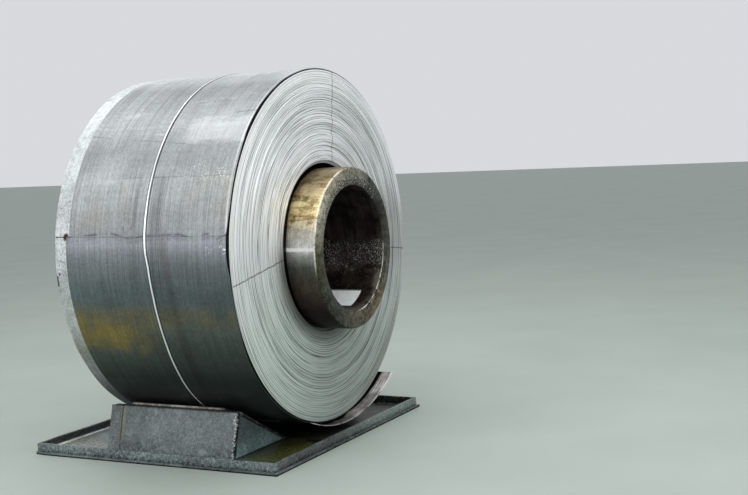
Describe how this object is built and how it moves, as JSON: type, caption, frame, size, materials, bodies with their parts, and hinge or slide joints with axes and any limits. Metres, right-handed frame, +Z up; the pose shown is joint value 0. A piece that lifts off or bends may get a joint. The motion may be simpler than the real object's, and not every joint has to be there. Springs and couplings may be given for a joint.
{
  "type": "steel coil",
  "caption": "Coil of wound steel strip on a thick spool sleeve, strapped, its tail sprung open, resting on a welded cradle with ramped chocks and lining boards",
  "frame": {"origin": "middle of the underside of the cradle's base plate, on the floor", "axes": "+Z up, Y along the coil's axis with the pictured end face towards -Y, +X to the right seen from that end, on the side of the sprung tail"},
  "size_m": [1.4498, 1.2055, 1.5219],
  "materials": {
    "strip_edges": "satin",
    "strip_surface": "satin, oiled",
    "strap": "satin",
    "sleeve": "worn, rusty",
    "cradle": "worn matt paint",
    "label": "matt",
    "pad": "bare, dirty"
  },
  "bodies": {
    "root": {"coil": "strip_edges", "outer_wrap": "strip_surface", "strap": "strap", "sleeve": "sleeve", "bore_label": "label", "base_plate": "cradle", "front_rim": "cradle", "back_rim": "cradle", "left_rim": "cradle", "right_rim": "cradle", "left_chock_shell": "cradle", "left_chock_front_end": "cradle", "left_chock_back_end": "cradle", "left_pad": "pad", "right_chock_shell": "cradle", "right_chock_front_end": "cradle", "right_chock_back_end": "cradle", "right_pad": "pad"}
  },
  "joints": []
}
